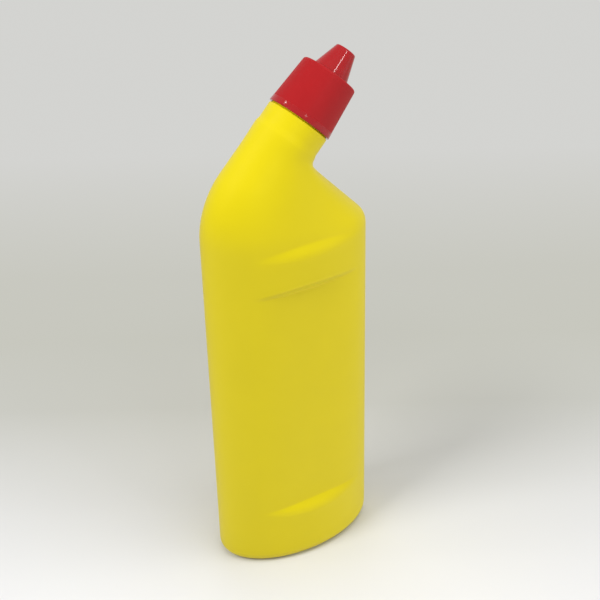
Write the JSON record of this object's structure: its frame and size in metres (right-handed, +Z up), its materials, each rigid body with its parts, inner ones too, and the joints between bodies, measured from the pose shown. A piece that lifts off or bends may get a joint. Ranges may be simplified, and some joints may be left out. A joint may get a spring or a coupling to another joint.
{
  "type": "toilet cleaner bottle",
  "caption": "Flat blown bottle with recessed label panels and a leaning offset neck, closed by a screw cap over a squirt nozzle.",
  "frame": {"origin": "centre of the foot's bounding box, on the surface that the bottle stands on", "axes": "+Z up, +X along the bottle's broad face towards the side that the neck leans to, +Y out of the back face"},
  "size_m": [0.085, 0.05, 0.2579],
  "materials": {
    "bottle_plastic": "satin yellow, with a fine blown grain",
    "nozzle_plastic": "smooth, milky natural",
    "liner_foam": "soft white foam",
    "cap_plastic": "fine matte texture on the skirt, gloss on the lower band and the tip"
  },
  "bodies": {
    "bottle": {"bottle": "bottle_plastic", "nozzle_insert": "nozzle_plastic"},
    "sealing_ring": {"sealing_ring": "liner_foam"},
    "cap": {"cap": "cap_plastic"}
  },
  "joints": [
    {"name": "cap_lift", "type": "slide", "parent": "bottle", "child": "sealing_ring", "axis": [0.6884, 0, 0.7254], "range_m": [0, 0.045]},
    {"name": "cap_turn", "type": "hinge", "parent": "sealing_ring", "child": "cap", "pos_m": [0.02239, 0, 0.24154], "axis": [0.6884, 0, 0.7254], "range_deg": [0, 720]}
  ]
}
